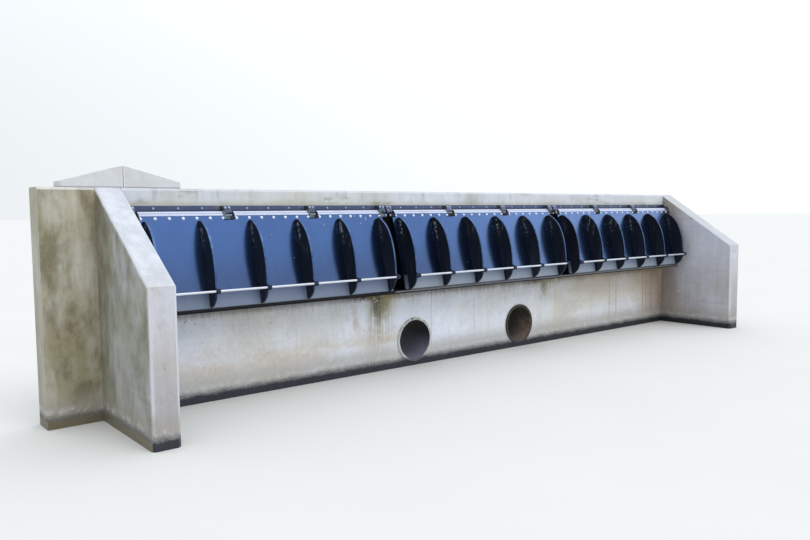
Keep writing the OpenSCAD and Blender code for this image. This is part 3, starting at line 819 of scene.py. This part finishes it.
for side, b in BAY.items():
    body = f"{side}_flap"
    bm = bmesh.new()
    for k in range(3):
        for i in range(7):
            x = (-1.530 + 0.152 * i, -0.456 + 0.1547 * i, 0.634 + 0.152 * i)[k]
            bolt(bm, on(b + x, 0.033), OUT, 0.0130, 0.0165)
    piece(f"{side}_clamp_bolts", bm, M_BOLT, body, smooth=False)
    # nuts on the end hinges' feet
    bm = bmesh.new()
    for s in (-1, 1):
        bolt(bm, on(b + s * 1.634, 0.030, 0.022), OUT, 0.008)
    piece(f"{side}_foot_screws", bm, M_SMALL, body)
    # washers and nuts at the rod's ends
    bm = bmesh.new()
    for s in (-1, 1):
        at = Vector((b + s * 1.525, -0.556, 1.297))
        lathe(bm, [(-0.004, 0.023), (-0.003, 0.025), (0.000, 0.025), (0.001, 0.023)], at, (s, 0, 0), 24)
        lathe(bm, [(0.000, 0.016), (0.001, 0.018), (0.009, 0.018), (0.010, 0.016)], at, (s, 0, 0), hexa=True)
        lathe(bm, [(0.005, 0.010), (0.015, 0.010), (0.017, 0.008)], at, (s, 0, 0), 16)
    piece(f"{side}_rod_nuts", bm, M_NUT, body)
    # weld beads where the ribs meet the plate
    bm = bmesh.new()
    for i in range(6):
        rx = b + (i - 2.5) * 0.6
        for s in (-1, 1):
            prev = None
            steps = 46
            for j in range(steps + 1):
                u = 0.060 + (LN - 0.066) * j / steps
                r = 0.0075 + 0.0012 * math.sin(j * 2.1 + i) + 0.0008 * RND.random()
                if j in (0, steps):
                    r *= 0.35
                c = on(rx + s * 0.011, u)
                ring = [
                    bm.verts.new(c + Vector((s * r * math.cos(t), 0, 0)) + OUT * (r * math.sin(t) - 0.0005))
                    for t in (0.0, 0.5, 1.05, math.pi / 2)
                ]
                core = bm.verts.new(c + Vector((-s * 0.003, 0, 0)) - OUT * 0.0015)
                ring.append(core)
                if prev:
                    for a in range(5):
                        q = (a + 1) % 5
                        bm.faces.new((prev[a], prev[q], ring[q], ring[a]))
                else:
                    bm.faces.new(ring)
                prev = ring
            bm.faces.new(list(reversed(prev)))
    piece(f"{side}_weld_beads", bm, M_BEAD, body, smooth=True)
    # bolts of the seat frame above the flap, and of the brackets
    bm = bmesh.new()
    for x in (-1.547, -1.343, -1.072, -0.800, -0.256, 0.014, 0.288, 0.834, 1.112, 1.384):
        bolt(bm, Vector((b + x - 0.005, -0.012, 2.160)), (0, -1, 0), 0.0085)
    for h in (-1.612, -0.547, 0.547, 1.612):
        for s in (-0.023, 0.023):
            d = Vector((0, -0.88, 0.475))
            bolt(bm, Vector((b + h + s, -0.0925, 2.168)), d, 0.0085)
    piece(f"{side}_frame_bolts", bm, M_SMALL, "headwall")


# plugs of the formwork tie holes
def plugs():
    bm = bmesh.new()
    for x, z in ((-1.548, 0.233), (-0.013, 0.232)):
        lathe(bm, [(-0.002, 0.024), (0.0012, 0.024), (0.002, 0.020), (0.0022, 0)], (x, 0, z), (0, -1, 0), 20)
    lathe(bm, [(-0.002, 0.026), (0.0012, 0.026), (0.002, 0.022), (0.0022, 0)], (5.0, -0.349, 0.591), (-1, 0, 0), 20)
    for x in (-3.9, -1.3, 1.3, 3.9):
        for z in (0.36, 0.82):
            lathe(bm, [(-0.002, 0.024), (0.0012, 0.024), (0.002, 0.020), (0.0022, 0)], (x, 0.3, z), (0, 1, 0), 20)
    g = Mat("tie_plug")
    n = g.noise(g.vec(1, 1, 1), 60.0, 4)
    m = g.done(g.mix(n, lin(178, 172, 158), lin(206, 202, 192)), g.lerp(n, 0.8, 0.95), g.bump(n, 0.4, 0.002))
    piece("tie_plugs", bm, m, "headwall", smooth=False)


plugs()


# ------------------------------------------------------------------ CAD nodes: small edge roundings
for name, w in (
    ("left_coping", 0.004),
    ("hinge_brackets", 0.0015),
):
    md = NODES[name].modifiers.new("edges", "BEVEL")
    md.width = w
    md.segments = 2
    md.limit_method = "ANGLE"
    md.angle_limit = math.radians(35)


# ------------------------------------------------------------------ stage and light
def floor():
    bm = bmesh.new()
    r0 = []
    for r in (0.0, 8.0, 20.0, 60.0, 300.0):
        if r == 0:
            r0.append([bm.verts.new((0, 0, 0))])
        else:
            r0.append([bm.verts.new((r * math.cos(2 * math.pi * i / 48), r * math.sin(2 * math.pi * i / 48), 0)) for i in range(48)])
    for p, q in zip(r0, r0[1:]):
        for i in range(48):
            j = (i + 1) % 48
            if len(p) == 1:
                bm.faces.new((p[0], q[i], q[j]))
            else:
                bm.faces.new((p[i], q[i], q[j], p[j]))
    me = bpy.data.meshes.new("floor")
    bm.to_mesh(me)
    bm.free()
    o = bpy.data.objects.new("floor", me)
    SC.collection.objects.link(o)
    g = Mat("floor_paint")
    n = g.noise(g.vec(1, 1, 1), 0.4, 3)
    m = g.done(g.mix(n, (0.60, 0.60, 0.59), (0.64, 0.64, 0.635)), 0.9, None, Specular_IOR_Level=0.1)
    me.materials.append(m)
    o.location.z = 0.0


floor()

w = bpy.data.worlds.new("studio")
SC.world = w
w.use_nodes = True
wt = w.node_tree
bg = wt.nodes["Background"]
wc = wt.nodes.new("ShaderNodeTexCoord")
wn = wt.nodes.new("ShaderNodeSeparateXYZ")
wt.links.new(wc.outputs["Generated"], wn.inputs[0])


def wmath(op, a, b):
    n = wt.nodes.new("ShaderNodeMath")
    n.operation = op
    for s, v in zip(n.inputs, (a, b)):
        if isinstance(v, bpy.types.NodeSocket):
            wt.links.new(v, s)
        else:
            s.default_value = v
    return n.outputs[0]


# a soft dome: brighter overhead and on the right
zen = wmath("POWER", wmath("MAXIMUM", wn.outputs[2], 0.0), 1.6)
wt.links.new(
    wmath("ADD", wmath("MULTIPLY", zen, 0.85), wmath("ADD", 0.86, wmath("MULTIPLY", wn.outputs[0], 0.26))),
    bg.inputs[1],
)
bg.inputs[0].default_value = (0.93, 0.97, 1.0, 1)


def sun(name, direction, strength, angle, colour=(1, 1, 1)):
    l = bpy.data.lights.new(name, "SUN")
    l.energy = strength
    l.angle = math.radians(angle)
    l.color = colour
    o = bpy.data.objects.new(name, l)
    SC.collection.objects.link(o)
    o.rotation_euler = Vector(direction).to_track_quat("-Z", "Y").to_euler()
    return o


sun("key", (-0.10, 0.58, -0.80), 0.85, 34, (1.0, 0.985, 0.97))

SC.view_settings.view_transform = "Standard"
SC.view_settings.look = "None"
SC.view_settings.exposure = 0.0
SC.view_settings.gamma = 1.0
